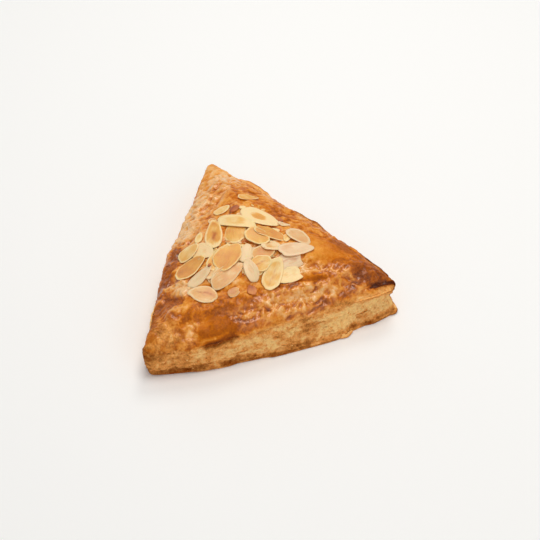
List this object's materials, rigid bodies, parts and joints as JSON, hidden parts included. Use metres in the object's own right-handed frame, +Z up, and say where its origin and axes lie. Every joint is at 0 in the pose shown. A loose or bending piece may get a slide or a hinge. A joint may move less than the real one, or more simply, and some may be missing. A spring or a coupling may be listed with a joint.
{
  "type": "pastry triangle",
  "caption": "Baked puff pastry triangle with a domed, glazed top crust, flaky sides and toasted flaked almonds strewn over the crown, lying flat.",
  "frame": {"origin": "on the table plane, under the middle of the box round the pastry", "axes": "+Z up; +X to the right along the long front side; +Y from the front side towards the back corner"},
  "size_m": [0.1386, 0.133, 0.039],
  "materials": {
    "baked_crust": "glazed golden brown crust over pale, dry, flaky sides",
    "toasted_almond": "dry, cream to toasted tan"
  },
  "bodies": {
    "root": {"pastry": "baked_crust"}
  },
  "joints": []
}
